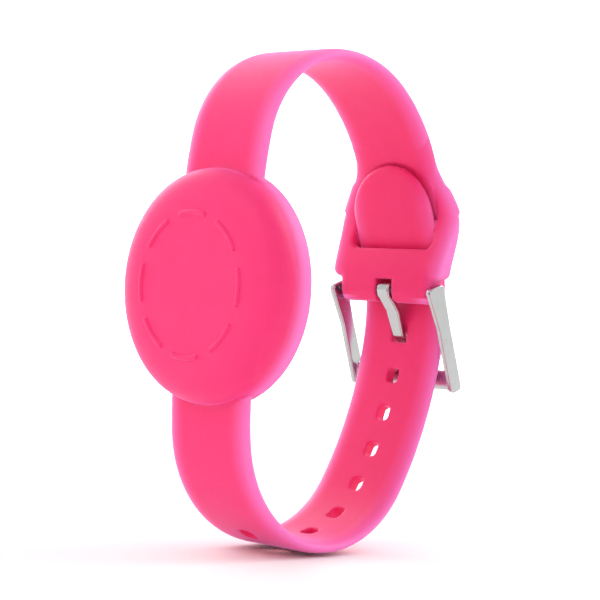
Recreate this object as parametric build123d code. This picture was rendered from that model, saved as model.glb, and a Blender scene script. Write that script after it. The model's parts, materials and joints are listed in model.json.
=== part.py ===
from build123d import *

import os
from math import cos, radians, sin

# Silicone wristband with a closed round head, a pin buckle and a coin-cell tracker puck.
# X runs along the buckle's spring bar, -Y is the way the head faces, +Z is up.
# The origin is the middle of the wrist opening. All sizes are millimetres.

# ---------------------------------------------------------------- driving dimensions
STRAP_WIDTH = 17.2
STRAP_THICKNESS = 1.95
TAIL_TIP_THICKNESS = 1.0
SKIN_SIDE_Y = -17.3           # the strap's skin side where it leaves the head

# The skin side of each strap as tangent arcs: (radius, turn in degrees).
UPPER_START_Z = 11.0
UPPER_ARCS = [(64.0, -11.0), (15.5, -64.5), (18.3, -53.0), (26.0, -29.5), (26.5, -16.0)]
LOWER_START_Z = -14.0
LOWER_ARCS = [(80.0, 6.0), (17.9, 72.6), (16.7, 70.2), (59.3, 21.8), (37.4, 22.5), (4.5, 13.0), (38.8, -23.3)]

HOLE_COUNT = 8                  # empty holes below the one that the tongue is in
HOLE_PITCH = 6.4
HOLE_WIDTH = 2.8
HOLE_LENGTH = 2.6
HOLE_CORNER = 0.8
TONGUE_HOLE_Z = -6.6          # where the tongue passes through the strap
TAIL_TIP_Z = 21.5
TAIL_GAP = 0.3                # between the tail and the slot it passes through

BUCKLE_END_WIDTH = 20.0       # standard 20 mm buckle end
SLOT_ZONE_WIDTH = 25.0        # the widest part, just above the slot
SHOULDER_WIDTH = 23.4         # the width tapers to this just above the buckle end
SLOT_HALF_WIDTH = 8.9
SLOT_LOW_Z = 7.9
SLOT_HIGH_Z = 11.5
BUCKLE_END_LOW_Z = -0.95
FLARE_TOP_Z = 22.5            # where the strap starts to widen towards the slot
FLARE_LOW_Z = 12.4            # where it is widest
SHOULDER_Z = 2.9              # the buckle end is narrower below this height
NOTCH_WIDTH = 3.5

HEAD_RADIUS = 17.9
HEAD_FACE_Y = -24.0
HEAD_BACK_Y = -15.7
HEAD_FLAT_RADIUS = 10.5
HEAD_WIDEST_Y = -19.3           # where the shoulder meets the skirt
HEAD_BACK_ROUND = 0.6
DASH_COUNT = 8
DASH_RING_RADIUS = 10.86
DASH_WIDTH = 0.9
DASH_HEIGHT = 0.4
DASH_SPAN = 31.0              # degrees of the ring that one dash covers

BAR_Y = 19.6                  # the buckle's pivot
BAR_Z = 1.1
TUBE_RADIUS = 0.65
TUBE_BORE_RADIUS = 0.5
TUBE_HALF_LENGTH = 8.4
CRIMP_LENGTH = 0.3
CRIMP_RADIUS = 0.4
PIN_HEAD_RADIUS = 0.45
PIN_HEAD_START = 6.8
PIN_HEAD_LENGTH = 1.25
PIN_STEM_RADIUS = 0.35
PIN_FLANGE_RADIUS = 0.6
PIN_FLANGE_START = 9.4
PIN_FLANGE_LENGTH = 0.3
PIN_END = 10.95
PIN_HOLE_END = 11.05           # the arms' holes stop short of their outer faces
RUNNING_GAP = 0.05

FRAME_ANGLE = 20.5            # the frame leans out from straight down
FRAME_INNER_WIDTH = 20.5
ARM_THICKNESS = 1.05
ARM_HALF_DEPTH = 1.25
ARM_CORNER = 0.8                # radius of the arm's corners
EAR_FRONT = 2.1                 # the arm's upper end reaches further to each side
EAR_BACK = 1.5
EAR_LENGTH = 6.0
ARM_LENGTH = 15.75            # pivot to the middle of the arm's round lower end
CROSSBAR_ALONG = 15.3
CROSSBAR_OUT = 0.35
CROSSBAR_HEIGHT = 3.4
CROSSBAR_DEPTH = 1.6

TONGUE_WIDTH = 2.6
TONGUE_THICKNESS = 0.9
TONGUE_LOOP_RADIUS = 1.3
TONGUE_TIP_WIDTH = 1.9
TONGUE_PLAY = 2.0             # degrees each way that the strap hole leaves the tongue
TONGUE_CLEARANCE = 0.3

PUCK_RADIUS = 13.7
PUCK_FRONT_Y = -22.4
PUCK_BACK_Y = -15.8
POCKET_GAP = 0.15
SHELL_WALL = 1.0
SHELL_FLOOR = 0.7
SHELL_SPLIT_Y = -17.6
SPIGOT_LENGTH = 1.0
COVER_RADIUS = 11.0
COVER_THICKNESS = 1.0
COVER_GAP = 0.1
LUG_COUNT = 3
LUG_REACH = 0.6
LUG_THICKNESS = 0.5
LUG_HALF_ANGLE = 12.0
COVER_TWIST = 30.0            # degrees from locked to free

CELL_RADIUS = 10.0
CELL_HEIGHT = 3.2
CELL_FRONT_Y = -20.1
BOARD_RADIUS = 12.3
BOARD_THICKNESS = 0.6
BOARD_FRONT_Y = -20.95
SCREW_RING_RADIUS = 11.1
SCREW_COUNT = 3

os.makedirs("parts", exist_ok=True)


def save(name, shape, colour):
    """Write one node as a STEP file."""
    shape.label = name
    shape.color = Color(*colour)
    export_step(shape, f"parts/{name}.step")


# ---------------------------------------------------------------- small helpers
def offset_arc(start, heading, radius, turn, offset):
    """An arc parallel to the one from start, offset to the right of its heading."""
    right = Vector(sin(radians(heading)), -cos(radians(heading)))
    begin = Vector(*start) + right * offset
    grown = radius + offset if turn > 0 else radius - offset
    tangent = Vector(cos(radians(heading)), sin(radians(heading)))
    return JernArc(start=begin, tangent=tangent, radius=grown, arc_size=turn)


def arc_run(start, heading, arcs, offset=0.0):
    """Tangent arcs from start, all moved to the right by offset."""
    edges = []
    point = Vector(*start)
    for radius, turn in arcs:
        edges.append(offset_arc(point, heading, radius, turn, offset))
        point = offset_arc(point, heading, radius, turn, 0.0) @ 1
        heading += turn
    return edges


def ribbon(start, heading, arcs, low, high, end_high=None):
    """The face between two parallel arc runs; end_high tapers the last arc."""
    inner = arc_run(start, heading, arcs, low)
    outer = arc_run(start, heading, arcs, high)
    if end_high is not None:
        final = heading + sum(turn for _, turn in arcs)
        last = arc_run(start, heading, arcs)[-1] @ 1
        tip = last + Vector(sin(radians(final)), -cos(radians(final))) * end_high
        outer[-1] = TangentArc(outer[-1] @ 0, tip, tangent=outer[-1] % 0)
    caps = [Line(inner[0] @ 0, outer[0] @ 0), Line(inner[-1] @ 1, outer[-1] @ 1)]
    return make_face(Curve() + inner + outer + caps)


def across(face, half_width, centre=0.0):
    """Extrude a face drawn in the strap's side view by half_width each way along X."""
    solid = extrude(Plane.YZ * face, amount=half_width, both=True)
    return Pos(centre, 0, 0) * solid


def front_view(face, y_from, y_to):
    """Extrude a face drawn with X across and Z up, between two heights along Y."""
    return Pos(0, y_from, 0) * extrude(Plane.XZ * face, amount=-(y_to - y_from))


def turned(profile):
    """Revolve an outline of (radius, y) about the head's axis."""
    return revolve(profile, axis=Axis.Y)


def disc(radius, y_from, y_to, inner=0.0):
    """A plate or ring about the head's axis."""
    face = Circle(radius) - Circle(inner) if inner else Circle(radius)
    return front_view(face, y_from, y_to)


def box(x_size, y_from, y_to, z_from, z_to):
    """A block centred on X = 0."""
    block = Box(x_size, y_to - y_from, z_to - z_from)
    return Pos(0, (y_from + y_to) / 2, (z_from + z_to) / 2) * block


def around_y(shape, count, first=0.0):
    """Copies of a shape, evenly spaced about the head's axis."""
    step = 360.0 / count
    return [shape.rotate(Axis.Y, first + index * step) for index in range(count)]


def along_x(radius, x_from, x_to):
    """A round bar on the buckle's pivot line."""
    bar = Cylinder(radius, x_to - x_from, rotation=(0, 90, 0))
    return Pos((x_from + x_to) / 2, BAR_Y, BAR_Z) * bar


# ---------------------------------------------------------------- band
LOWER_START = (SKIN_SIDE_Y, LOWER_START_Z)
UPPER_START = (SKIN_SIDE_Y, UPPER_START_Z)
HALF_STRAP = STRAP_WIDTH / 2
HALF_END = BUCKLE_END_WIDTH / 2
HALF_SLOT_ZONE = SLOT_ZONE_WIDTH / 2
HALF_SHOULDER = SHOULDER_WIDTH / 2


def head():
    """The round head: flat face, full shoulder, straight skirt."""
    face_edge = (HEAD_FLAT_RADIUS, HEAD_FACE_Y)
    widest = (HEAD_RADIUS, HEAD_WIDEST_Y)
    skirt_end = (HEAD_RADIUS, HEAD_BACK_Y - HEAD_BACK_ROUND)
    back_edge = (HEAD_RADIUS - HEAD_BACK_ROUND, HEAD_BACK_Y)
    shoulder = Spline(face_edge, (14.6, -23.58), (16.9, -22.3), widest, tangents=[(1, 0), (0, 1)])
    outline = Curve() + [
        Line((0, HEAD_FACE_Y), face_edge),
        shoulder,
        Line(widest, skirt_end),
        TangentArc(skirt_end, back_edge, tangent=(0, 1)),
        Line(back_edge, (0, HEAD_BACK_Y)),
        Line((0, HEAD_BACK_Y), (0, HEAD_FACE_Y)),
    ]
    return turned(make_face(outline))


def dashes():
    """Raised dashes in a ring on the head's face."""
    ring = disc(DASH_RING_RADIUS + DASH_WIDTH / 2, HEAD_FACE_Y - DASH_HEIGHT, HEAD_FACE_Y + 0.1,
                DASH_RING_RADIUS - DASH_WIDTH / 2)
    reach = 2 * DASH_RING_RADIUS
    half = radians(DASH_SPAN / 2)
    wedge = make_face(Polyline((0, 0), (-reach * sin(half), reach * cos(half)),
                               (reach * sin(half), reach * cos(half)), close=True))
    dash = ring & front_view(wedge, HEAD_FACE_Y - 1, HEAD_FACE_Y + 1)
    return around_y(dash, DASH_COUNT)


def upper_strap():
    """From the head over the top and down to the buckle end, widening round the slot."""
    face = ribbon(UPPER_START, 90.0, UPPER_ARCS, 0.0, -STRAP_THICKNESS)
    side = across(face, HALF_SLOT_ZONE)
    front = side & box(STRAP_WIDTH, -30, 0, 0, 50)
    return front + (side & buckle_end_outline())


def buckle_end_outline():
    """The strap's outline seen from behind: strap width, slot zone, buckle end."""
    flare_middle = (FLARE_TOP_Z + FLARE_LOW_Z) / 2
    right = [
        Line((HALF_STRAP, 50), (HALF_STRAP, FLARE_TOP_Z)),
        Bezier((HALF_STRAP, FLARE_TOP_Z), (HALF_STRAP, flare_middle), (HALF_SLOT_ZONE, flare_middle),
               (HALF_SLOT_ZONE, FLARE_LOW_Z)),
        Line((HALF_SLOT_ZONE, FLARE_LOW_Z), (HALF_SHOULDER, SHOULDER_Z)),
        Line((HALF_SHOULDER, SHOULDER_Z), (HALF_END, SHOULDER_Z)),
        Line((HALF_END, SHOULDER_Z), (HALF_END, BUCKLE_END_LOW_Z - 1)),
        Line((HALF_END, BUCKLE_END_LOW_Z - 1), (0, BUCKLE_END_LOW_Z - 1)),
        Line((0, BUCKLE_END_LOW_Z - 1), (0, 50)),
        Line((0, 50), (HALF_STRAP, 50)),
    ]
    half = front_view(make_face(Curve() + right), 0, 30)
    return half + mirror(half, Plane.YZ)


def buckle_end():
    """The thick strap end that holds the spring bar, up to above the slot."""
    skin = Spline((20.2, 18.6), (20.75, 13.8), (19.6, 8.6), (18.5, 4.6), (18.5, 0.4),
                  tangents=[(0.33, -0.94), (0.25, -0.97)])
    outer = Spline((22.4, 0.6), (22.4, 4.6), (23.4, 11.0), (22.0, 19.3),
                   tangents=[(0, 1), (-0.33, 0.94)])
    bottom = [
        TangentArc(skin @ 1, (20.2, BUCKLE_END_LOW_Z), tangent=skin % 1),
        Line((20.2, BUCKLE_END_LOW_Z), (21.2, BUCKLE_END_LOW_Z)),
        TangentArc((21.2, BUCKLE_END_LOW_Z), outer @ 0, tangent=(1, 0)),
    ]
    face = make_face(Curve() + [skin, outer, Line(outer @ 1, skin @ 0)] + bottom)
    return across(face, HALF_SLOT_ZONE) & buckle_end_outline()


def tail_outline(grown=0.0):
    """The lower strap seen from behind, up to its round tip, larger by grown all round."""
    half = HALF_STRAP + grown
    tip_centre_z = TAIL_TIP_Z - HALF_STRAP
    return Pos(0, tip_centre_z) * Circle(half) + Pos(0, tip_centre_z - 40) * Rectangle(2 * half, 80)


def lower_strap():
    """From the head under the wrist and up the back, ending in the round tail tip."""
    face = ribbon(LOWER_START, -90.0, LOWER_ARCS, 0.0, STRAP_THICKNESS, TAIL_TIP_THICKNESS)
    return across(face, HALF_STRAP) & front_view(tail_outline(), -30, 40)


def tail_room():
    """The space that the tail needs through the slot, with its gap."""
    gap = TAIL_GAP
    face = ribbon(LOWER_START, -90.0, LOWER_ARCS, -gap, STRAP_THICKNESS + gap, TAIL_TIP_THICKNESS + gap)
    room = across(face, SLOT_HALF_WIDTH) & box(2 * SLOT_HALF_WIDTH, 15, 30, -4, 40)
    return room & front_view(tail_outline(gap), 10, 35)


def slot():
    """A round-ended opening straight through the strap."""
    height = SLOT_HIGH_Z - SLOT_LOW_Z
    face = RectangleRounded(2 * SLOT_HALF_WIDTH, height, 1.5)
    return front_view(Pos(0, (SLOT_HIGH_Z + SLOT_LOW_Z) / 2) * face, 15, 27)


def hole_places():
    """Where each empty adjusting hole crosses the lower strap, as planes along the run."""
    run = Wire(arc_run(LOWER_START, -90.0, LOWER_ARCS))
    before_tail = Wire(arc_run(LOWER_START, -90.0, LOWER_ARCS[:4])).length
    tongue_hole = before_tail + (TONGUE_HOLE_Z - run.position_at(before_tail, PositionMode.LENGTH).Y)
    for index in range(1, HOLE_COUNT + 1):
        distance = tongue_hole - index * HOLE_PITCH
        point = run.position_at(distance, PositionMode.LENGTH)
        heading = run.tangent_at(distance, PositionMode.LENGTH)
        outward = Vector(heading.Y, -heading.X)
        yield Plane(origin=(0, point.X, point.Y), x_dir=(1, 0, 0), z_dir=(0, outward.X, outward.Y))


def strap_holes():
    """Rounded holes through the lower strap."""
    face = RectangleRounded(HOLE_WIDTH, HOLE_LENGTH, HOLE_CORNER)
    depth = 2 * STRAP_THICKNESS
    return [extrude(place.offset(-1.0) * face, amount=depth) for place in hole_places()]


def tongue_room():
    """The ninth hole, closed in round the tongue except over its play."""
    body = across(tongue_profile(TONGUE_THICKNESS + 2 * TONGUE_CLEARANCE, False),
                  TONGUE_WIDTH / 2 + TONGUE_CLEARANCE)
    pivot = Axis((0, BAR_Y, BAR_Z), (1, 0, 0))
    return [body.rotate(pivot, angle) for angle in (-TONGUE_PLAY, 0.0, TONGUE_PLAY)]


def pocket():
    """The puck's pocket, open towards the wrist."""
    return disc(PUCK_RADIUS + POCKET_GAP, PUCK_FRONT_Y - RUNNING_GAP, HEAD_BACK_Y + 5)


def band():
    """One silicone moulding."""
    notch = box(NOTCH_WIDTH, 15, 22.8, BUCKLE_END_LOW_Z - 1, SHOULDER_Z)
    upper = upper_strap() + buckle_end()
    upper -= slot()
    upper -= tail_room()
    upper -= notch
    upper -= along_x(TUBE_RADIUS + RUNNING_GAP, -HALF_SLOT_ZONE, HALF_SLOT_ZONE)
    lower = lower_strap() - strap_holes() - tongue_room()
    body = head() + dashes() + upper + lower
    return body - pocket()


# ---------------------------------------------------------------- buckle
def in_frame(along, out):
    """A point of the leaning frame in the side view: along the arm, out from it."""
    lean = radians(FRAME_ANGLE)
    return (BAR_Y + along * sin(lean) + out * cos(lean), BAR_Z - along * cos(lean) + out * sin(lean))


def leaning(face, along, out):
    """Place a face drawn upright on the leaning frame."""
    place = in_frame(along, out)
    return Pos(*place) * Rot(0, 0, FRAME_ANGLE) * face


def buckle_frame():
    """Two flat arms, wider at the pivot, and a rounded crossbar, in one piece."""
    foot = ARM_LENGTH + ARM_HALF_DEPTH - ARM_CORNER
    slim = ARM_HALF_DEPTH - ARM_CORNER
    corners = [(-0.2, ARM_CORNER - EAR_FRONT), (EAR_LENGTH, -slim), (foot, -slim), (foot, slim),
               (EAR_LENGTH, slim), (-0.2, EAR_BACK - ARM_CORNER)]
    inset = make_face(Polyline([in_frame(*corner) for corner in corners], close=True))
    arm_face = offset(inset, ARM_CORNER)
    arm_centre = (FRAME_INNER_WIDTH + ARM_THICKNESS) / 2
    arms = [across(arm_face, ARM_THICKNESS / 2, side * arm_centre) for side in (-1, 1)]
    bar_face = leaning(Ellipse(CROSSBAR_DEPTH / 2, CROSSBAR_HEIGHT / 2), CROSSBAR_ALONG, CROSSBAR_OUT)
    crossbar = across(bar_face, FRAME_INNER_WIDTH / 2 + ARM_THICKNESS / 2)
    return crossbar + arms - along_x(PIN_STEM_RADIUS + RUNNING_GAP, -PIN_HOLE_END, PIN_HOLE_END)


def tongue_profile(thickness, with_loop=True):
    """The tongue's side view: a loop round the bar, then four straight runs with soft bends."""
    path = FilletPolyline((19.15, 0.2), (21.35, -2.2), (23.1, -6.1), (25.15, -7.9), (25.9, -10.6), radius=0.9)
    face = trace(path, thickness)
    if with_loop:
        face += Pos(BAR_Y, BAR_Z) * Circle(TONGUE_LOOP_RADIUS)
        face -= Pos(BAR_Y, BAR_Z) * Circle(TUBE_RADIUS + RUNNING_GAP)
    return face


def buckle_tongue():
    """A bent strip that turns on the bar and narrows to a round tip."""
    half = TONGUE_WIDTH / 2
    tip = TONGUE_TIP_WIDTH / 2
    outline = make_face(Polyline((-half, 5), (-half, -3), (-tip, -9), (-tip, -14), (tip, -14), (tip, -9),
                                 (half, -3), (half, 5), close=True))
    return across(tongue_profile(TONGUE_THICKNESS), half) & front_view(outline, 10, 30)


def spring_bar_tube():
    """The bar's tube, with its ends crimped in to keep the pins."""
    end = TUBE_HALF_LENGTH
    tube = along_x(TUBE_RADIUS, -end, end)
    tube -= along_x(TUBE_BORE_RADIUS, -end + CRIMP_LENGTH, end - CRIMP_LENGTH)
    return tube - along_x(CRIMP_RADIUS, -end - 1, end + 1)


def spring_bar_pin(side):
    """A stepped pin: head in the tube, stem, flange for the tool, tip in the frame."""
    steps = [
        (PIN_HEAD_RADIUS, PIN_HEAD_START, PIN_HEAD_START + PIN_HEAD_LENGTH),
        (PIN_STEM_RADIUS, PIN_HEAD_START, PIN_END),
        (PIN_FLANGE_RADIUS, PIN_FLANGE_START, PIN_FLANGE_START + PIN_FLANGE_LENGTH),
    ]
    pin = Part() + [along_x(radius, begin, end) for radius, begin, end in steps]
    return pin if side > 0 else mirror(pin, Plane.YZ)


def spring_bar_spring():
    """A coil spring between the two pins."""
    wire_radius = 0.08
    coil_radius = 0.36
    half = PIN_HEAD_START - wire_radius - 0.02
    coil = Helix(pitch=0.95, height=2 * half, radius=coil_radius)
    section = Plane(origin=coil @ 0, z_dir=coil % 0) * RegularPolygon(wire_radius, 10)
    spring = sweep(section, path=coil)
    return Pos(-half, BAR_Y, BAR_Z) * Rot(0, 90, 0) * spring


# ---------------------------------------------------------------- puck
SHELL_INNER = PUCK_RADIUS - SHELL_WALL
FLOOR_BACK_Y = PUCK_FRONT_Y + SHELL_FLOOR
BOARD_BACK_Y = BOARD_FRONT_Y + BOARD_THICKNESS
CELL_BACK_Y = CELL_FRONT_Y + CELL_HEIGHT
COVER_FRONT_Y = PUCK_BACK_Y - COVER_THICKNESS
SPIGOT_FRONT_Y = SHELL_SPLIT_Y - SPIGOT_LENGTH
GROOVE_RADIUS = COVER_RADIUS + LUG_REACH + 0.25
LUG_BACK_Y = COVER_FRONT_Y - 0.2
LUG_FRONT_Y = LUG_BACK_Y - LUG_THICKNESS


def screw_places(shape):
    """Copies of a shape at the three board screws."""
    return around_y(Pos(0, 0, SCREW_RING_RADIUS) * shape, SCREW_COUNT, 60.0)


def puck_front_shell():
    """A shallow cup with three screw bosses."""
    cup = disc(PUCK_RADIUS, PUCK_FRONT_Y, SHELL_SPLIT_Y - 0.05)
    cup -= disc(SHELL_INNER, FLOOR_BACK_Y, SHELL_SPLIT_Y)
    cup = fillet(cup.edges().sort_by(Axis.Y)[0], 0.5)
    cup += screw_places(front_view(Circle(1.3), FLOOR_BACK_Y - 0.1, BOARD_FRONT_Y))
    return cup - screw_places(front_view(Circle(0.6), PUCK_FRONT_Y + 0.3, BOARD_FRONT_Y + 1))


def lug_ring(outer, inner, y_from, y_to, half_angle, turn=0.0):
    """Sectors of a ring, one for each bayonet lug."""
    ring = disc(outer, y_from, y_to, inner)
    reach = 2 * outer
    half = radians(half_angle)
    wedge = make_face(Polyline((0, 0), (-reach * sin(half), reach * cos(half)),
                               (reach * sin(half), reach * cos(half)), close=True))
    sector = ring & front_view(wedge, y_from, y_to)
    return around_y(sector, LUG_COUNT, turn)


def puck_rear_shell():
    """A ring that closes the cup, bored and grooved for the twist cover."""
    bore = COVER_RADIUS + COVER_GAP
    spigot = SHELL_INNER - RUNNING_GAP
    groove_front = LUG_FRONT_Y - 0.15
    groove_back = LUG_BACK_Y + 0.12
    outline = Polyline(
        (bore, SPIGOT_FRONT_Y), (spigot, SPIGOT_FRONT_Y), (spigot, SHELL_SPLIT_Y),
        (PUCK_RADIUS, SHELL_SPLIT_Y), (PUCK_RADIUS, PUCK_BACK_Y), (bore, PUCK_BACK_Y),
        (bore, groove_back), (GROOVE_RADIUS, groove_back),
        (GROOVE_RADIUS, groove_front), (bore, groove_front),
        close=True,
    )
    entries = lug_ring(GROOVE_RADIUS, COVER_RADIUS - 1, groove_back - 0.2, PUCK_BACK_Y + 1,
                       LUG_HALF_ANGLE + 2, COVER_TWIST)
    return turned(make_face(outline)) - entries


def battery_cover():
    """A round cover with a coin slot, an O-ring groove and three lugs."""
    cover = disc(COVER_RADIUS, COVER_FRONT_Y, PUCK_BACK_Y)
    cover -= disc(COVER_RADIUS + 1, COVER_FRONT_Y + 0.15, COVER_FRONT_Y + 0.85, COVER_RADIUS - 0.7)
    cover += disc(COVER_RADIUS - 0.1, LUG_FRONT_Y, COVER_FRONT_Y + 0.05, COVER_RADIUS - 0.7)
    cover += lug_ring(COVER_RADIUS + LUG_REACH, COVER_RADIUS - 0.5, LUG_FRONT_Y, LUG_BACK_Y, LUG_HALF_ANGLE)
    coin_slot = front_view(SlotOverall(12.0, 1.6), PUCK_BACK_Y - 0.5, PUCK_BACK_Y + 1)
    return cover - coin_slot


def cover_o_ring():
    """The seal in the cover's groove."""
    section = Pos(COVER_RADIUS - 0.33, COVER_FRONT_Y + 0.5) * Circle(0.31)
    return turned(section)


def cell_carrier():
    """A plastic ring round the cell, recessed over the screws and open at the side contact."""
    carrier = disc(BOARD_RADIUS, BOARD_BACK_Y, SPIGOT_FRONT_Y - 0.1, CELL_RADIUS + 0.15)
    carrier -= screw_places(front_view(Circle(1.35), BOARD_BACK_Y - 1, BOARD_BACK_Y + 0.9))
    return carrier - Pos(CELL_RADIUS + 1.0, 0, 0) * box(3.0, BOARD_BACK_Y - 1, SPIGOT_FRONT_Y, -2.0, 2.0)


def coin_cell():
    """A 2032 cell: wide can towards the cover, narrower button towards the board."""
    cell = disc(CELL_RADIUS, CELL_FRONT_Y + 0.35, CELL_BACK_Y)
    cell = fillet(cell.edges(), 0.3)
    return cell + disc(CELL_RADIUS - 1.2, CELL_FRONT_Y, CELL_FRONT_Y + 0.6)


def circuit_board():
    """A round board with three screw holes."""
    board = disc(BOARD_RADIUS, BOARD_FRONT_Y, BOARD_BACK_Y)
    return board - screw_places(front_view(Circle(0.7), BOARD_FRONT_Y - 1, BOARD_BACK_Y + 1))


def board_screws():
    """Three pan-head screws that hold the board to the front shell."""
    shank = front_view(Circle(0.55), BOARD_FRONT_Y - 0.9, BOARD_BACK_Y + 0.1)
    screw_head = fillet(front_view(Circle(1.05), BOARD_BACK_Y, BOARD_BACK_Y + 0.55).edges().sort_by(Axis.Y)[-1], 0.2)
    drive = front_view(Rectangle(1.2, 0.25) + Rectangle(0.25, 1.2), BOARD_BACK_Y + 0.3, BOARD_BACK_Y + 1)
    return Part() + screw_places(screw_head + shank - drive)


def on_board(width, height, tall, x, z):
    """A component on the board's front side."""
    block = Box(width, tall, height)
    return Pos(x, BOARD_FRONT_Y - tall / 2, z) * block


def board_capacitors():
    """Two short rows of identical capacitors beside the radio chip."""
    places = [(x, z) for x in (-4.8, 4.8) for z in (-1.6, 0.0, 1.6)]
    return Part() + [on_board(1.0, 0.5, 0.5, x, z) for x, z in places]


def contact_negative():
    """A thin strip on the board that bears on the cell's button."""
    strip = front_view(RectangleRounded(12.0, 3.0, 1.0), CELL_FRONT_Y - 0.17, CELL_FRONT_Y)
    foot = front_view(Rectangle(2.0, 3.0), BOARD_BACK_Y, CELL_FRONT_Y - 0.1)
    return strip + foot


def contact_positive():
    """A bent clip on the board that bears on the cell's rim."""
    x_inner = CELL_RADIUS
    wall = Pos(x_inner + 0.2, 0, 0) * box(0.25, BOARD_BACK_Y, CELL_FRONT_Y + 2.4, -1.6, 1.6)
    foot = Pos(x_inner + 0.95, 0, 0) * box(1.7, BOARD_BACK_Y, BOARD_BACK_Y + 0.2, -1.6, 1.6)
    pip = Pos(x_inner + 0.1, CELL_FRONT_Y + 1.6, 0) * Sphere(0.1)
    return wall + foot + pip


# ---------------------------------------------------------------- write every node
SILICONE = (0.98, 0.27, 0.53)
STEEL = (0.78, 0.79, 0.80)
DARK_PLASTIC = (0.10, 0.10, 0.11)
GREEN_BOARD = (0.05, 0.30, 0.18)
CHIP_BLACK = (0.06, 0.06, 0.07)
GOLD = (0.85, 0.68, 0.35)
CERAMIC = (0.75, 0.62, 0.48)

NODES = {
    "band": (band(), SILICONE),
    "buckle_frame": (buckle_frame(), STEEL),
    "buckle_tongue": (buckle_tongue(), STEEL),
    "spring_bar_tube": (spring_bar_tube(), STEEL),
    "spring_bar_spring": (spring_bar_spring(), STEEL),
    "spring_bar_pin_left": (spring_bar_pin(-1), STEEL),
    "spring_bar_pin_right": (spring_bar_pin(1), STEEL),
    "puck_front_shell": (puck_front_shell(), DARK_PLASTIC),
    "puck_rear_shell": (puck_rear_shell(), DARK_PLASTIC),
    "battery_cover": (battery_cover(), DARK_PLASTIC),
    "cover_o_ring": (cover_o_ring(), CHIP_BLACK),
    "cell_carrier": (cell_carrier(), CERAMIC),
    "coin_cell": (coin_cell(), STEEL),
    "battery_contact_positive": (contact_positive(), GOLD),
    "battery_contact_negative": (contact_negative(), GOLD),
    "circuit_board": (circuit_board(), GREEN_BOARD),
    "board_screws": (board_screws(), STEEL),
    "radio_chip": (on_board(5.0, 5.0, 0.7, 0.0, 0.0), CHIP_BLACK),
    "motion_sensor": (on_board(2.0, 2.0, 0.7, 0.0, -5.5), CHIP_BLACK),
    "clock_crystal": (on_board(2.0, 1.6, 0.5, 0.0, 4.4), STEEL),
    "chip_antenna": (on_board(3.2, 1.6, 0.65, 0.0, 10.4), CERAMIC),
    "board_capacitors": (board_capacitors(), CERAMIC),
}

for node_name, (node_shape, node_colour) in NODES.items():
    save(node_name, node_shape, node_colour)
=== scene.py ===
"""Looks of the silicone tracker band: one moulded band, steel buckle, tracker puck."""

import json
import math

import bpy
import bmesh
import numpy as np
from mathutils import Matrix, Vector


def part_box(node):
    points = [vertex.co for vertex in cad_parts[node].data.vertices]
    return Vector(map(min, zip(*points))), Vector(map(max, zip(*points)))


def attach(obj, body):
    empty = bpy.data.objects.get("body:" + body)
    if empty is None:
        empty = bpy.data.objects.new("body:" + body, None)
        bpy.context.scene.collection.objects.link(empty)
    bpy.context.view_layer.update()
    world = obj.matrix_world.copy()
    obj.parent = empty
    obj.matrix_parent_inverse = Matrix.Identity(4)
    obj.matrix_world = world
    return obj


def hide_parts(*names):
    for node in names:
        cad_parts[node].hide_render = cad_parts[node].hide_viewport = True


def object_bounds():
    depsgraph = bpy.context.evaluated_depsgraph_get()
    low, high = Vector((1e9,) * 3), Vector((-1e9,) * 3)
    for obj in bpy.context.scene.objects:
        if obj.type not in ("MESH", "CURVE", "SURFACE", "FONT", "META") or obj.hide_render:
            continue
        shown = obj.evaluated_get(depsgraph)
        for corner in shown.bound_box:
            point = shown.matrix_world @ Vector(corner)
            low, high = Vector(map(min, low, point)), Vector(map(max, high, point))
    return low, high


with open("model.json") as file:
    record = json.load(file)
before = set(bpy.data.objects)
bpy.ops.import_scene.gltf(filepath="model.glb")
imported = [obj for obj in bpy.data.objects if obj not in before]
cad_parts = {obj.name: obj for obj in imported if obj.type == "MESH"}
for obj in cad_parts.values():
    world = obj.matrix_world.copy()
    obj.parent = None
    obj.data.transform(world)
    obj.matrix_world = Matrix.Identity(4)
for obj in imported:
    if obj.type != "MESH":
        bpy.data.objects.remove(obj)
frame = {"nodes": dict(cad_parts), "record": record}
cad_low, cad_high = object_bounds()
nodes = frame["nodes"]

MM = 0.001

# ---------------------------------------------------------------- camera and light
VIEW_AZIMUTH = math.radians(45.0)
VIEW_DISTANCE = 0.3025
VIEW_ROLL = math.radians(3.3)
LENS = 115.5
SHIFT_X = -0.0045
SHIFT_Y = -0.014


def make_camera():
    """A level camera at the band's front left, a little rolled."""
    data = bpy.data.cameras.new("camera")
    data.lens = LENS
    data.sensor_width = 36.0
    data.shift_x = SHIFT_X
    data.shift_y = SHIFT_Y
    data.clip_start = 0.01
    camera = bpy.data.objects.new("camera", data)
    bpy.context.collection.objects.link(camera)
    back = Vector((math.sin(VIEW_AZIMUTH), -math.cos(VIEW_AZIMUTH), 0.0))
    camera.location = back * VIEW_DISTANCE
    level = (-back).to_track_quat("-Z", "Y").to_matrix().to_4x4()
    camera.matrix_world = Matrix.Translation(camera.location) @ level @ Matrix.Rotation(VIEW_ROLL, 4, "Z")
    bpy.context.scene.camera = camera


def area_light(name, place, target, size, power):
    """A square white soft box aimed at a target."""
    data = bpy.data.lights.new(name, "AREA")
    data.size = size
    data.energy = power
    lamp = bpy.data.objects.new(name, data)
    bpy.context.collection.objects.link(lamp)
    lamp.location = place
    lamp.rotation_mode = "QUATERNION"
    lamp.rotation_quaternion = (Vector(target) - Vector(place)).to_track_quat("-Z", "Y")


def make_world(strength):
    """Even white surroundings."""
    world = bpy.data.worlds.new("studio")
    world.use_nodes = True
    background = world.node_tree.nodes["Background"]
    background.inputs["Color"].default_value = (1.0, 1.0, 1.0, 1.0)
    background.inputs["Strength"].default_value = strength
    bpy.context.scene.world = world


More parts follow.
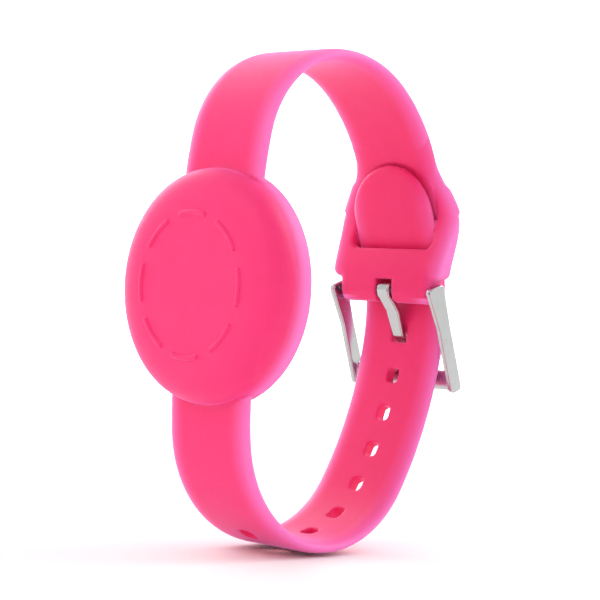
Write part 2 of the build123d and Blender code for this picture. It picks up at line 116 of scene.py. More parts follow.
def make_floor():
    """A pale round floor that curves up into a backdrop on every side."""
    flat, rise, rings, turns = 0.55, 0.65, 24, 96
    mesh = bpy.data.meshes.new("floor")
    low = cad_low.z - 0.0004
    points, faces = [(0.0, 0.0, low)], []
    for ring in range(rings):
        share = (ring + 1) / rings
        reach = flat * min(1.0, share * 2)
        height = low
        if share > 0.5:
            sweep = (share - 0.5) * math.pi
            reach = flat + rise * math.sin(sweep)
            height = low + rise * (1 - math.cos(sweep))
        for turn in range(turns):
            angle = 2 * math.pi * turn / turns
            points.append((reach * math.cos(angle), reach * math.sin(angle), height))
    for turn in range(turns):
        faces.append((0, 1 + turn, 1 + (turn + 1) % turns))
    for ring in range(rings - 1):
        for turn in range(turns):
            here = 1 + ring * turns
            after = (turn + 1) % turns
            faces.append((here + turn, here + turns + turn, here + turns + after, here + after))
    mesh.from_pydata(points, [], faces)
    mesh.polygons.foreach_set("use_smooth", [True] * len(mesh.polygons))
    floor = bpy.data.objects.new("floor", mesh)
    bpy.context.collection.objects.link(floor)
    paint = bpy.data.materials.new("floor_paint")
    paint.use_nodes = True
    shader = paint.node_tree.nodes["Principled BSDF"]
    shader.inputs["Base Color"].default_value = (0.93, 0.93, 0.93, 1.0)
    shader.inputs["Roughness"].default_value = 0.9
    mesh.materials.append(paint)


# ---------------------------------------------------------------- the band's sizes, in millimetres
STRAP_HALF_WIDTH = 8.6
STRAP_THICKNESS = 1.95
TAIL_TIP_THICKNESS = 1.0
EDGE_RUN = 2.6                # how far in from the edge the strap starts to thin
SKIN_SIDE_Y = -17.3
UPPER_START_Z = 11.0
UPPER_ARCS = [(64.0, -11.0), (15.5, -64.5), (18.3, -53.0), (26.0, -29.5), (26.5, -16.0)]
LOWER_START_Z = -14.0
LOWER_ARCS = [(80.0, 6.0), (17.9, 72.6), (16.7, 70.2), (59.3, 21.8), (37.4, 22.5), (4.5, 13.0), (38.8, -23.3)]
BEFORE_TAIL = 4               # arcs of the lower strap below the buckle
HOLE_COUNT = 8
HOLE_PITCH = 6.4
HOLE_HALF_WIDTH = 1.25
HOLE_HALF_LENGTH = 1.25
HOLE_CORNER = 0.8
TONGUE_HOLE_Z = -6.6
SLOT_HALF_WIDTH = 8.9
SLOT_LOW_Z = 7.9
SLOT_HIGH_Z = 11.5
TAIL_GAP = 0.4
SLOT_ZONE_HALF_WIDTH = 12.5
SHOULDER_HALF_WIDTH = 11.7
FLARE_TOP_Z = 22.5
FLARE_LOW_Z = 12.4
END_HALF_WIDTH = 10.0
SHOULDER_Z = 2.9
END_LOW_Z = -0.95
PAINTED_RIM_REACH = 4.0               # how far in from an edge the painted pale rim highlight reaches
NOTCH_HALF_WIDTH = 1.75
BAR_Y, BAR_Z = 19.6, 1.1
HEAD_RADIUS = 17.9
HEAD_FACE_Y = -24.0
HEAD_BACK_Y = -15.7
HEAD_FLAT_RADIUS = 10.5
HEAD_CREASE_Y = -19.3
HEAD_SHOULDER_FULLNESS = 2.6
HEAD_BACK_ROUND = 0.6
DASH_COUNT = 8
DASH_RING_RADIUS = 10.86
DASH_HALF_SPAN = math.radians(15.5)
DASH_RADIUS = 0.4
POCKET_RADIUS = 13.85
POCKET_FLOOR_Y = -22.45
TONGUE_PATH = [(19.15, 0.2), (21.35, -2.2), (23.1, -6.1), (25.15, -7.9), (25.9, -10.6)]
TONGUE_HALF_THICKNESS = 0.45
TONGUE_HALF_WIDTH = 1.3
TONGUE_CLEARANCE = 0.3
TONGUE_PLAY = math.radians(2.0)
TONGUE_LOOP_RADIUS = 1.3
TONGUE_TIP_HALF_WIDTH = 0.95
BAR_RADIUS = 0.7
FRAME_LEAN = math.radians(20.5)
FRAME_INNER_HALF_WIDTH = 10.25
ARM_HALF_THICKNESS = 0.525
ARM_HALF_DEPTH = 1.25
ARM_CORNER = 0.8
EAR_FRONT = 2.1
EAR_BACK = 1.5
EAR_LENGTH = 6.0
ARM_LENGTH = 15.75
ARM_HOLE_RADIUS = 0.4
ARM_HOLE_END = 11.05
CROSSBAR_ALONG = 15.3
CROSSBAR_OUT = 0.35
CROSSBAR_HALF_HEIGHT = 1.7
CROSSBAR_HALF_DEPTH = 0.8


# ---------------------------------------------------------------- distance fields
def smooth_union(a, b, blend):
    """The nearer of two distances, with a fillet where they meet."""
    h = np.clip(0.5 + 0.5 * (b - a) / blend, 0.0, 1.0)
    return b * (1 - h) + a * h - blend * h * (1 - h)


def carve(a, b, blend):
    """Shape a with shape b cut out of it, with softened lips."""
    return -smooth_union(-a, b, blend)


def rounded_both(wall, side, high, run):
    """Inside both walls, with the edge between them rounded off as a quarter ellipse."""
    p, q = wall / high + 1.0, side / run + 1.0
    corner = np.hypot(np.maximum(p, 0.0), np.maximum(q, 0.0)) - 1.0
    return high * np.where((p > 0) & (q > 0), corner, np.maximum(p, q) - 1.0)


def run_places(start, heading, arcs):
    """Each arc of a run as centre, radius, sign, first angle, turn and distance at its start."""
    places = []
    y, z = start
    along = 0.0
    for radius, turn in arcs:
        sign = 1.0 if turn > 0 else -1.0
        left = heading + math.pi / 2
        cy, cz = y + sign * radius * math.cos(left), z + sign * radius * math.sin(left)
        first = math.atan2(z - cz, y - cy)
        swing = math.radians(turn)
        places.append((cy, cz, radius, sign, first, swing, along, (y, z), heading))
        heading += swing
        y, z = cy + radius * math.cos(first + swing), cz + radius * math.sin(first + swing)
        along += radius * abs(swing)
    return places, (y, z), heading, along


def on_run(run, y, z):
    """Distance along a run and distance out from its skin side, for points of the side view."""
    places, end, end_heading, length = run
    best = np.full(np.broadcast(y, z).shape, 1e9)
    along = np.zeros_like(best)
    out = np.zeros_like(best)
    for cy, cz, radius, sign, first, swing, start_along, _, _ in places:
        angle = (np.arctan2(z - cz, y - cy) - first) * sign
        angle = (angle + math.pi) % (2 * math.pi) - math.pi
        inside = (angle >= 0) & (angle <= abs(swing))
        side = (np.hypot(y - cy, z - cz) - radius) * sign
        nearer = inside & (np.abs(side) < np.abs(best))
        best = np.where(nearer, side, best)
        out = np.where(nearer, side, out)
        along = np.where(nearer, start_along + angle * radius, along)
    first_place = places[0]
    for (py, pz), heading, base in ((first_place[7], first_place[8], 0.0), (end, end_heading, length)):
        ahead = (y - py) * math.cos(heading) + (z - pz) * math.sin(heading)
        side = (y - py) * math.sin(heading) - (z - pz) * math.cos(heading)
        beyond = ahead < 0 if base == 0.0 else ahead > 0
        nearer = beyond & (np.hypot(ahead, side) < np.abs(best))
        best = np.where(nearer, np.hypot(ahead, side), best)
        out = np.where(nearer, side, out)
        along = np.where(nearer, base + ahead, along)
    return along, out


def outline_distance(points, y, z):
    """Signed distance to a closed outline in two dimensions."""
    best = np.full(np.broadcast(y, z).shape, 1e18)
    inside = np.zeros(best.shape, bool)
    for (ay, az), (by, bz) in zip(points, points[1:] + points[:1]):
        ey, ez = by - ay, bz - az
        wy, wz = y - ay, z - az
        share = np.clip((wy * ey + wz * ez) / (ey * ey + ez * ez), 0.0, 1.0)
        best = np.minimum(best, (wy - ey * share) ** 2 + (wz - ez * share) ** 2)
        crosses = (az > z) != (bz > z)
        reach = ey * (z - az) / (ez if ez else 1e-9) + ay
        inside ^= crosses & (y < reach)
    return np.where(inside, -1.0, 1.0) * np.sqrt(best)


def path_distance(points, y, z):
    """Distance to an open line of straight runs."""
    best = np.full(np.broadcast(y, z).shape, 1e18)
    for (ay, az), (by, bz) in zip(points, points[1:]):
        ey, ez = by - ay, bz - az
        share = np.clip(((y - ay) * ey + (z - az) * ez) / (ey * ey + ez * ez), 0.0, 1.0)
        best = np.minimum(best, (y - ay - ey * share) ** 2 + (z - az - ez * share) ** 2)
    return np.sqrt(best)


def curve_points(controls, steps=8):
    """Points of a smooth open curve through the controls."""
    c = [np.array(p, float) for p in controls]
    c = [2 * c[0] - c[1]] + c + [2 * c[-1] - c[-2]]
    made = []
    for a, b, d, e in zip(c, c[1:], c[2:], c[3:]):
        for k in range(steps):
            t = k / steps
            made.append(0.5 * (2 * b + (d - a) * t + (2 * a - 5 * b + 4 * d - e) * t * t
                               + (3 * b - a - 3 * d + e) * t ** 3))
    made.append(c[-2])
    return [(float(p[0]), float(p[1])) for p in made]


UPPER = run_places((SKIN_SIDE_Y, UPPER_START_Z), math.pi / 2, UPPER_ARCS)
LOWER = run_places((SKIN_SIDE_Y, LOWER_START_Z), -math.pi / 2, LOWER_ARCS)


def flare_half_width(z):
    """Half the upper strap's width: widest above the slot, then tapering to the shoulder."""
    t = np.clip((FLARE_TOP_Z - z) / (FLARE_TOP_Z - FLARE_LOW_Z), 0.0, 1.0)
    flare = STRAP_HALF_WIDTH + (SLOT_ZONE_HALF_WIDTH - STRAP_HALF_WIDTH) * t * t * (3 - 2 * t)
    below = np.clip((FLARE_LOW_Z - z) / (FLARE_LOW_Z - SHOULDER_Z), 0.0, 1.0)
    return flare - (SLOT_ZONE_HALF_WIDTH - SHOULDER_HALF_WIDTH) * below


def upper_strap(x, y, z):
    """The ribbon from the head over the top to the buckle end."""
    along, out = on_run(UPPER, y, z)
    # This run bends the other way, so out counts towards the wrist here.
    wall = np.abs(-out - STRAP_THICKNESS / 2) - STRAP_THICKNESS / 2
    half = np.where(y > 0, flare_half_width(z), STRAP_HALF_WIDTH)
    body = rounded_both(wall, np.abs(x) - half, 0.9, EDGE_RUN)
    return np.maximum(body, np.maximum(along - UPPER[3], -6.0 - along))


END_SKIN = [(20.2, 18.6), (20.75, 13.8), (19.6, 8.6), (18.5, 4.6), (18.5, 0.8)]
END_OUTER = [(22.4, 0.6), (22.4, 4.6), (23.4, 11.0), (22.3, 18.3)]


def buckle_end(x, y, z):
    """The thick end of the upper strap."""
    outline = curve_points(END_SKIN) + [(19.0, -0.6), (20.0, END_LOW_Z), (21.3, END_LOW_Z), (22.3, -0.4)]
    outline += curve_points(END_OUTER)
    side = outline_distance(outline, y, z)
    outer = np.clip((y - 19.8) / 2.5, 0.0, 1.0)
    body = rounded_both(side, np.abs(x) - flare_half_width(z), 0.8 + 0.5 * outer, 1.6 + 0.8 * outer)
    step = smooth_union(np.abs(x) - END_HALF_WIDTH, SHOULDER_Z - z, 0.6)
    return -smooth_union(-body, -step, 1.4)


def lower_strap(x, y, z):
    """The ribbon from the head under the wrist to the tail's round tip."""
    along, out = on_run(LOWER, y, z)
    length = LOWER[3]
    last = LOWER[0][-1][6]
    share = np.clip((along - last) / (length - last), 0.0, 1.0)
    thick = STRAP_THICKNESS + (TAIL_TIP_THICKNESS - STRAP_THICKNESS) * share
    wall = np.maximum(np.abs(out - thick / 2) - thick / 2, -6.0 - along)
    past = np.maximum(along - (length - STRAP_HALF_WIDTH), 0.0)
    side = np.hypot(x, past) - STRAP_HALF_WIDTH
    body = rounded_both(wall, side, 0.9 * thick / STRAP_THICKNESS, EDGE_RUN * (1 - 0.5 * share))
    return body, along


def hole_middles():
    """Distances along the lower strap of its empty adjusting holes."""
    before_tail = LOWER[0][BEFORE_TAIL][6]
    start_z = LOWER[0][BEFORE_TAIL][7][1]
    tongue = before_tail + TONGUE_HOLE_Z - start_z
    return [tongue - k * HOLE_PITCH for k in range(1, HOLE_COUNT + 1)]


def strap_hole(x, along, middle):
    """A rounded opening through the strap."""
    a = np.abs(x) - HOLE_HALF_WIDTH + HOLE_CORNER
    b = np.abs(along - middle) - HOLE_HALF_LENGTH + HOLE_CORNER
    return np.hypot(np.maximum(a, 0), np.maximum(b, 0)) + np.minimum(np.maximum(a, b), 0) - HOLE_CORNER


def slot_and_tail_room(x, y, z):
    """The strap's slot, and the room in it for the tail."""
    corner = 1.5
    middle = (SLOT_LOW_Z + SLOT_HIGH_Z) / 2
    half = (SLOT_HIGH_Z - SLOT_LOW_Z) / 2
    a = np.abs(x) - SLOT_HALF_WIDTH + corner
    b = np.abs(z - middle) - half + corner
    opening = np.hypot(np.maximum(a, 0), np.maximum(b, 0)) + np.minimum(np.maximum(a, b), 0) - corner
    along, out = on_run(LOWER, y, z)
    last = LOWER[0][-1][6]
    share = np.clip((along - last) / (LOWER[3] - last), 0.0, 1.0)
    thick = STRAP_THICKNESS + (TAIL_TIP_THICKNESS - STRAP_THICKNESS) * share
    room = np.abs(out - thick / 2) - thick / 2 - TAIL_GAP
    past = np.maximum(along - (LOWER[3] - STRAP_HALF_WIDTH), 0.0)
    room = np.maximum(room, np.hypot(x, past) - STRAP_HALF_WIDTH - 0.15)
    return np.maximum(np.minimum(opening, np.maximum(room, -4.0 - z)), 15.0 - y)


def head(x, y, z):
    """The round head as a turned outline."""
    flat = HEAD_FLAT_RADIUS
    wide = HEAD_RADIUS - 0.12 - flat
    deep = HEAD_CREASE_Y - HEAD_FACE_Y
    power = 2 / HEAD_SHOULDER_FULLNESS
    angles = [math.pi / 2 * k / 24 for k in range(25)]
    outline = [(-1.0, HEAD_FACE_Y)]
    for a in angles:
        outline.append((flat + wide * math.sin(a) ** power, HEAD_CREASE_Y - deep * math.cos(a) ** power))
    # A shallow crease, then the straight skirt and its rounded back edge.
    outline.append((HEAD_RADIUS - 0.2, HEAD_CREASE_Y + 0.12))
    outline.append((HEAD_RADIUS - 0.05, HEAD_CREASE_Y + 0.5))
    outline.append((HEAD_RADIUS, HEAD_CREASE_Y + 1.4))
    soft = HEAD_BACK_ROUND
    for a in (0.0, 0.4, 0.8, 1.2, 1.57):
        outline.append((HEAD_RADIUS - soft + soft * math.cos(a), HEAD_BACK_Y - soft + soft * math.sin(a)))
    outline.append((-1.0, HEAD_BACK_Y))
    return outline_distance(outline, np.hypot(x, z), y)


def dash_ring(x, y, z):
    """Eight raised dashes on the head's face."""
    radius = np.hypot(x, z)
    step = 2 * math.pi / DASH_COUNT
    angle = (np.arctan2(x, z) + step / 2) % step - step / 2
    past = np.maximum(np.abs(angle) - DASH_HALF_SPAN + 0.03, 0.0) * radius
    return np.sqrt((radius - DASH_RING_RADIUS) ** 2 + past ** 2 + (y - HEAD_FACE_Y) ** 2) - DASH_RADIUS


def tongue_room(x, y, z):
    """The hole that the tongue is in, closed round it except over its play."""
    rooms = []
    for angle in (-TONGUE_PLAY, 0.0, TONGUE_PLAY):
        c, s = math.cos(angle), math.sin(angle)
        turned_y = BAR_Y + (y - BAR_Y) * c - (z - BAR_Z) * s
        turned_z = BAR_Z + (y - BAR_Y) * s + (z - BAR_Z) * c
        rooms.append(path_distance(TONGUE_PATH, turned_y, turned_z) - TONGUE_HALF_THICKNESS)
    nearest = np.minimum(np.minimum(rooms[0], rooms[1]), rooms[2])
    return np.maximum(nearest, np.abs(x) - TONGUE_HALF_WIDTH) - TONGUE_CLEARANCE


def band_field(x, y, z):
    """Signed distance to the whole moulding, in millimetres."""
    upper = smooth_union(upper_strap(x, y, z), buckle_end(x, y, z), 0.8)
    upper = carve(upper, slot_and_tail_room(x, y, z), 0.5)
    notch = np.maximum(np.abs(x) - NOTCH_HALF_WIDTH, np.maximum(z - SHOULDER_Z, 15.0 - y))
    upper = carve(upper, notch, 0.25)
    upper = carve(upper, np.hypot(y - BAR_Y, z - BAR_Z) - 0.72, 0.05)
    lower, along = lower_strap(x, y, z)
    for middle in hole_middles():
        lower = carve(lower, strap_hole(x, along, middle), 0.18)
    lower = carve(lower, tongue_room(x, y, z), 0.15)
    shell = smooth_union(head(x, y, z), dash_ring(x, y, z), 0.08)
    body = smooth_union(shell, np.minimum(upper, lower), 0.4)
    pocket = np.maximum(np.hypot(x, z) - POCKET_RADIUS, POCKET_FLOOR_Y - y)
    pocket = np.maximum(pocket, y + 10.0)
    return carve(body, pocket, 0.35)


def frame_field(x, y, z):
    """The buckle frame: two flat arms and a rounded crossbar, with polished-off edges."""
    along = (y - BAR_Y) * math.sin(FRAME_LEAN) - (z - BAR_Z) * math.cos(FRAME_LEAN)
    out = (y - BAR_Y) * math.cos(FRAME_LEAN) + (z - BAR_Z) * math.sin(FRAME_LEAN)
    foot, slim = ARM_LENGTH + ARM_HALF_DEPTH - ARM_CORNER, ARM_HALF_DEPTH - ARM_CORNER
    corners = [(-0.2, ARM_CORNER - EAR_FRONT), (EAR_LENGTH, -slim), (foot, -slim), (foot, slim),
               (EAR_LENGTH, slim), (-0.2, EAR_BACK - ARM_CORNER)]
    outline = outline_distance(corners, along, out) - ARM_CORNER
    middle = FRAME_INNER_HALF_WIDTH + ARM_HALF_THICKNESS
    side = np.abs(np.abs(x) - middle) - ARM_HALF_THICKNESS
    arm = rounded_both(outline, side, 0.24, 0.24)
    hole = np.maximum(np.hypot(along, out) - ARM_HOLE_RADIUS, np.abs(x) - ARM_HOLE_END)
    arm = carve(arm, hole, 0.05)
    oval = np.hypot((along - CROSSBAR_ALONG) / CROSSBAR_HALF_HEIGHT,
                    (out - CROSSBAR_OUT) / CROSSBAR_HALF_DEPTH)
    bar = np.maximum((oval - 1) * CROSSBAR_HALF_DEPTH, np.abs(x) - middle)
    return smooth_union(arm, bar, 0.35)


def tongue_field(x, y, z):
    """The buckle tongue: a bent strip looped round the spring bar."""
    strip = path_distance(TONGUE_PATH, y, z) - TONGUE_HALF_THICKNESS
    centre = np.hypot(y - BAR_Y, z - BAR_Z)
    outline = smooth_union(strip, centre - TONGUE_LOOP_RADIUS, 0.5)
    taper = np.clip((-3.0 - z) / 6.0, 0.0, 1.0)
    half = TONGUE_HALF_WIDTH + (TONGUE_TIP_HALF_WIDTH - TONGUE_HALF_WIDTH) * taper
    body = rounded_both(outline, np.abs(x) - half, 0.25, 0.3)
    return carve(body, centre - BAR_RADIUS, 0.08)


# ---------------------------------------------------------------- meshing
def graded(low, high, step, fine=()):
    """Grid lines past low and high, closer together within the fine (from, to, step) spans."""
    lines = [low - 2 * step]
    while lines[-1] < high + step:
        here = lines[-1]
        gap = min([step] + [near for start, end, near in fine if start <= here < end])
        lines.append(here + gap)
    return np.array(lines)


def surface_net(field, axes):
    """Quads on the zero surface of a field, one vertex in each grid cell that it crosses."""
    x, y, z = np.meshgrid(*axes, indexing="ij", sparse=True)
    values = field(x, y, z).astype(np.float32)
    inside = values < 0
    shape = [n - 1 for n in values.shape]
    total = np.zeros(shape + [3], np.float32)
    count = np.zeros(shape, np.float32)
    corners = [(a, b, c) for a in (0, 1) for b in (0, 1) for c in (0, 1)]

    def part(grid, corner):
        return grid[tuple(slice(corner[k], corner[k] + shape[k]) for k in range(3))]

    for corner in corners:
        for axis in range(3):
            if corner[axis]:
                continue
            other = tuple(1 if k == axis else corner[k] for k in range(3))
            a, b = part(values, corner), part(values, other)
            crossed = part(inside, corner) != part(inside, other)
            share = np.where(crossed, a / np.where(crossed, a - b, 1.0), 0.0)
            for k in range(3):
                total[..., k] += np.where(crossed, share if k == axis else corner[k], 0.0)
            count += crossed
    used = count > 0
    index = np.full(shape, -1, np.int64)
    index[used] = np.arange(int(used.sum()))
    cells = np.argwhere(used)
    offset = total[used] / count[used][:, None]
    points = np.empty((len(cells), 3))
    for k in range(3):
        gaps = np.diff(axes[k])
        points[:, k] = axes[k][cells[:, k]] + offset[:, k] * gaps[cells[:, k]]
    quads = []
    for axis in range(3):
        u, v = (axis + 1) % 3, (axis + 2) % 3
        a = inside[1:-1, 1:-1, 1:-1]
        shift = [slice(1, -1)] * 3
        shift[axis] = slice(2, None)
        b = inside[tuple(shift)]
        for entering in (True, False):
            edges = np.argwhere((a != b) & (a == entering)) + 1
            around = []
            for du, dv in ((-1, -1), (0, -1), (0, 0), (-1, 0)):
                cell = edges.copy()
                cell[:, u] += du
                cell[:, v] += dv
                around.append(index[cell[:, 0], cell[:, 1], cell[:, 2]])
            if not entering:
                around.reverse()
            quads.append(np.stack(around, axis=1))
    quads = np.concatenate(quads)
    return points, quads[(quads >= 0).all(axis=1)]


def settle(field, points, rounds=3):
    """Move points onto the zero surface along the field's slope."""
    small = 0.02
    for _ in range(rounds):
        x, y, z = points.T
        value = field(x, y, z)
        slope = np.stack([
            field(x + small, y, z) - field(x - small, y, z),
            field(x, y + small, z) - field(x, y - small, z),
            field(x, y, z + small) - field(x, y, z - small),
        ], axis=1) / (2 * small)
        size = np.maximum((slope ** 2).sum(axis=1), 0.25)
        move = -value[:, None] * slope / size[:, None]
        points = points + np.clip(move, -0.15, 0.15)
    return points


def to_object(name, points, quads):
    """A smooth-shaded object from points in millimetres."""
    mesh = bpy.data.meshes.new(name)
    mesh.from_pydata((points * MM).tolist(), [], quads.tolist())
    mesh.validate()
    mesh.polygons.foreach_set("use_smooth", [True] * len(mesh.polygons))
    piece = bpy.data.objects.new(name, mesh)
    bpy.context.collection.objects.link(piece)
    return piece


def refine(piece, field, wanted):
    """Split the faces round the wanted points once and settle the new vertices."""
    mesh = piece.data
    work = bmesh.new()
    work.from_mesh(mesh)
    places = np.array([v.co for v in work.verts]) / MM
    chosen = wanted(*places.T)
    edges = [e for e in work.edges if chosen[e.verts[0].index] and chosen[e.verts[1].index]]
    bmesh.ops.subdivide_edges(work, edges=edges, cuts=1, use_grid_fill=True)
    work.to_mesh(mesh)
    work.free()
    places = np.empty(len(mesh.vertices) * 3)
    mesh.vertices.foreach_get("co", places)
    places = places.reshape(-1, 3) / MM
    near = wanted(*places.T)
    places[near] = settle(field, places[near])
    mesh.vertices.foreach_set("co", (places * MM).ravel())
    mesh.polygons.foreach_set("use_smooth", [True] * len(mesh.polygons))
    mesh.update()


def near_dashes(x, y, z):
    """Round the raised dashes."""
    return (np.abs(np.hypot(x, z) - DASH_RING_RADIUS) < 0.9) & (y < -23.4)


def near_holes(x, y, z):
    """Round the lips of the adjusting holes."""
    along, out = on_run(LOWER, y, z)
    near = np.zeros(x.shape, bool)
    for middle in hole_middles():
        near |= np.abs(strap_hole(x, along, middle)) < 0.5
    return near & (out > -0.5) & (out < STRAP_THICKNESS + 0.5)


def painted_rim_highlight_share(x, y, z):
    """How close each point is to a thin free edge, where a pale highlight is painted in for the backlight and
    sheen that light the edges.
    """
    along, out = on_run(LOWER, y, z)
    on_lower = (along > 0) & (np.abs(out - STRAP_THICKNESS / 2) < 1.1) & (np.abs(x) < STRAP_HALF_WIDTH + 0.05)
    half = np.where((y > 0) & (z > 0) & ~on_lower, flare_half_width(z), STRAP_HALF_WIDTH)
    reach = np.clip(1.0 + (np.abs(x) - half) / PAINTED_RIM_REACH, 0.0, 1.0) ** 2
    # The painted rim highlight is made weaker on the tail.
    tail = on_lower * np.clip((z + 2.0) / 8.0, 0.0, 1.0) * (y > 0)
    radius = np.hypot(x, z)
    beside_strap = np.clip((np.abs(x) - 6.5) / 3.0, 0.0, 1.0)
    outer = np.clip((radius - 16.5) / 1.4, 0.0, 1.0)
    skirt = np.clip((y - HEAD_CREASE_Y + 0.3) / 2.4, 0.0, 1.0) * (1.0 - outer * (1.0 - beside_strap))
    on_head = (y < HEAD_BACK_Y + 0.2) & (radius < HEAD_RADIUS + 0.2)
    return np.where(on_head, skirt, reach * (1.0 - 0.4 * tail))


def make_band():
    """The band's mesh, from its field."""
    step = 0.42
    fine = 0.3
    low = np.array(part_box("band")[0]) / MM
    high = np.array(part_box("band")[1]) / MM
    axes = [
        graded(low[0], high[0], step),
        graded(low[1], high[1], step, [(-24.6, -23.6, fine), (17.5, 24.0, fine)]),
        graded(low[2], high[2], step, [(-1.5, 9.0, fine)]),
    ]
    points, quads = surface_net(band_field, axes)
    piece = to_object("silicone_band", settle(band_field, points), quads)
    refine(piece, band_field, near_dashes)
    refine(piece, band_field, near_dashes)
    refine(piece, band_field, near_holes)
    places = np.array([v.co for v in piece.data.vertices]) / MM
    # A painted pale rim highlight near the free edges, kept as a point attribute for the silicone's colour.
    painted_rim_highlight = piece.data.attributes.new("painted_rim_highlight", "FLOAT", "POINT")
    painted_rim_highlight.data.foreach_set("value", painted_rim_highlight_share(*places.T))
    return piece


def make_steel_piece(name, node, field, step):
    """A steel part's mesh, from its field, in place of its CAD node."""
    low = np.array(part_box(node)[0]) / MM
    high = np.array(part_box(node)[1]) / MM
    points, quads = surface_net(field, [graded(low[k], high[k], step) for k in range(3)])
    return to_object(name, settle(field, points), quads)


# ---------------------------------------------------------------- materials
MIX_A, MIX_B, MIX_RESULT = 6, 7, 2        # a Mix node's colour sockets
# The colour of the pale highlight painted in at the silicone's edges.
PAINTED_RIM_HIGHLIGHT_PINK = (1.0, 0.2, 0.58)
PINK = (0.93, 0.028, 0.185)
PINK_SHADE = (0.91, 0.024, 0.168)


def add(tree, kind, **inputs):
    """A shader node with some of its inputs set."""
    node = tree.nodes.new(kind)
    for name, value in inputs.items():
        node.inputs[name.replace("_", " ")].default_value = value
    return node


def speckle(tree, scale, detail=3.0, stretch=None):
    """A noise value fixed to the object, with scale in features per metre."""
    place = tree.nodes.new("ShaderNodeTexCoord").outputs["Object"]
    if stretch:
        mapping = add(tree, "ShaderNodeMapping", Scale=stretch)
        tree.links.new(place, mapping.inputs["Vector"])
        place = mapping.outputs["Vector"]
    noise = add(tree, "ShaderNodeTexNoise", Scale=scale, Detail=detail, Roughness=0.55)
    tree.links.new(place, noise.inputs["Vector"])
    return noise.outputs["Fac"]


def spread(tree, value, low, high):
    """A noise value turned into a range of numbers."""
    span = add(tree, "ShaderNodeMapRange", From_Min=0.3, From_Max=0.7, To_Min=low, To_Max=high)
    tree.links.new(value, span.inputs["Value"])
    return span.outputs["Result"]


def finish_material(name, colour, shade, roughness, grain, depth, stretch=None, **sockets):
    """A principled material whose colour, roughness and surface vary finely.

    colour and shade are the two colours that it drifts between, roughness is a (low, high) pair,
    grain is in features per metre and depth is the bump height in metres.
    """
    material = bpy.data.materials.new(name)
    material.use_nodes = True
    tree = material.node_tree
    shader = tree.nodes["Principled BSDF"]
    for socket, value in sockets.items():
        shader.inputs[socket.replace("_", " ")].default_value = value
    mix = add(tree, "ShaderNodeMix")
    mix.data_type = "RGBA"
    mix.inputs[MIX_A].default_value = (*colour, 1.0)
    mix.inputs[MIX_B].default_value = (*shade, 1.0)
    tree.links.new(spread(tree, speckle(tree, grain * 0.13), 0.0, 1.0), mix.inputs["Factor"])
    tree.links.new(mix.outputs[MIX_RESULT], shader.inputs["Base Color"])
    fine = speckle(tree, grain, 4.0, stretch)
    tree.links.new(spread(tree, fine, *roughness), shader.inputs["Roughness"])
    bump = add(tree, "ShaderNodeBump", Strength=0.6, Distance=depth)
    tree.links.new(fine, bump.inputs["Height"])
    tree.links.new(bump.outputs["Normal"], shader.inputs["Normal"])
    return material


def silicone_material():
    """Soft pink silicone with a magenta sheen, and a pale highlight painted in at its thin edges."""
    material = finish_material(
        "silicone", PINK, PINK_SHADE, (0.44, 0.54), 2600.0, 0.000012,
        IOR=1.4, Subsurface_Weight=0.2, Subsurface_Radius=(1.0, 0.25, 0.5), Subsurface_Scale=0.001,
        Sheen_Weight=0.75, Sheen_Roughness=0.35, Sheen_Tint=(1.0, 0.4, 0.9, 1.0))
    tree = material.node_tree
    shader = tree.nodes["Principled BSDF"]
    body = shader.inputs["Base Color"].links[0].from_socket
    # Mix the painted pale rim highlight into the body colour near the free edges.
    painted_rim_highlight = tree.nodes.new("ShaderNodeAttribute")
    painted_rim_highlight.attribute_name = "painted_rim_highlight"
    pale = add(tree, "ShaderNodeMix")
    pale.data_type = "RGBA"
    tree.links.new(painted_rim_highlight.outputs["Fac"], pale.inputs["Factor"])
    tree.links.new(body, pale.inputs[MIX_A])
    pale.inputs[MIX_B].default_value = (*PAINTED_RIM_HIGHLIGHT_PINK, 1.0)
    tree.links.new(pale.outputs[MIX_RESULT], shader.inputs["Base Color"])
    return material


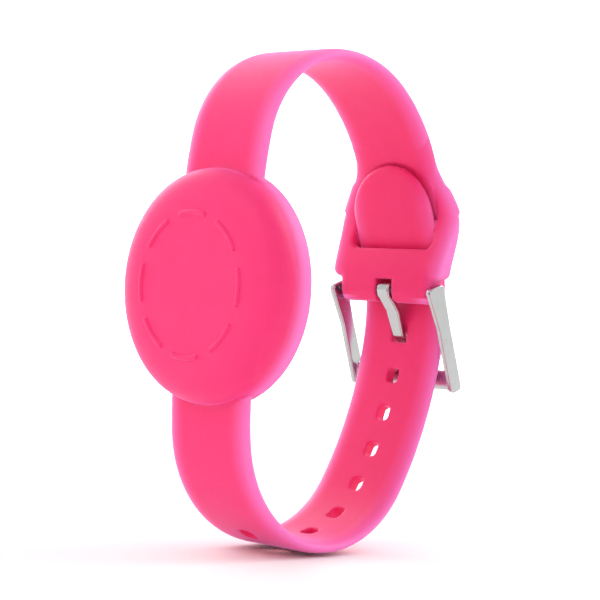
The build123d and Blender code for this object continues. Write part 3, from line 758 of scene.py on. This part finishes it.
MATERIALS = {
    "silicone": silicone_material(),
    "steel": finish_material(
        "steel", (0.53, 0.54, 0.535), (0.5, 0.51, 0.505), (0.2, 0.28), 3000.0, 0.000004, (1.0, 0.25, 1.0),
        Metallic=1.0),
    "shell_plastic": finish_material(
        "shell_plastic", (0.045, 0.045, 0.05), (0.035, 0.035, 0.04), (0.38, 0.55), 4200.0, 0.00002),
    "seal_rubber": finish_material(
        "seal_rubber", (0.02, 0.02, 0.02), (0.028, 0.028, 0.028), (0.55, 0.7), 2500.0, 0.00001),
    "white_plastic": finish_material(
        "white_plastic", (0.75, 0.74, 0.7), (0.7, 0.69, 0.65), (0.4, 0.5), 2500.0, 0.00001),
    "cell_steel": finish_material(
        "cell_steel", (0.66, 0.67, 0.68), (0.6, 0.61, 0.62), (0.2, 0.36), 3000.0, 0.000006, (1.0, 1.0, 0.06),
        Metallic=1.0),
    "gold_plate": finish_material(
        "gold_plate", (0.83, 0.62, 0.28), (0.78, 0.56, 0.24), (0.2, 0.32), 3000.0, 0.000004, Metallic=1.0),
    "board_green": finish_material(
        "board_green", (0.02, 0.16, 0.08), (0.016, 0.12, 0.06), (0.22, 0.32), 1800.0, 0.000015),
    "chip_black": finish_material(
        "chip_black", (0.03, 0.03, 0.032), (0.024, 0.024, 0.026), (0.4, 0.6), 5000.0, 0.00001),
    "ceramic": finish_material(
        "ceramic", (0.62, 0.52, 0.38), (0.56, 0.46, 0.33), (0.35, 0.5), 4000.0, 0.00001),
}


# ---------------------------------------------------------------- build
bpy.context.scene.view_settings.view_transform = "Standard"
make_camera()
make_world(0.77)
make_floor()
area_light("key", (-0.12, -0.5, 0.42), (0, 0, 0), 0.5, 0.8)
area_light("back_left", (-0.62, 0.12, 0.28), (0, 0, 0), 0.4, 1.6)
area_light("back_right", (0.2, 0.55, 0.45), (0, 0, 0), 0.4, 1.6)
area_light("backdrop", (-0.25, 0.25, 0.5), (-0.9, 0.9, 0.1), 0.5, 9.0)

slot_of = {part["node"]: part["material_slot"] for part in frame["record"]["subparts"]}
for node, obj in nodes.items():
    obj.data.materials.clear()
    obj.data.materials.append(MATERIALS[slot_of[node]])

band_piece = make_band()
polished_frame = make_steel_piece("buckle_frame_polished", "buckle_frame", frame_field, 0.2)
polished_tongue = make_steel_piece("buckle_tongue_polished", "buckle_tongue", tongue_field, 0.12)
REPLACED = [
    (band_piece, "band", "strap"),
    (polished_frame, "buckle_frame", "frame"),
    (polished_tongue, "buckle_tongue", "tongue"),
]
for piece, node, body in REPLACED:
    piece.data.materials.append(MATERIALS[slot_of[node]])
    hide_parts(node)
    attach(piece, body)
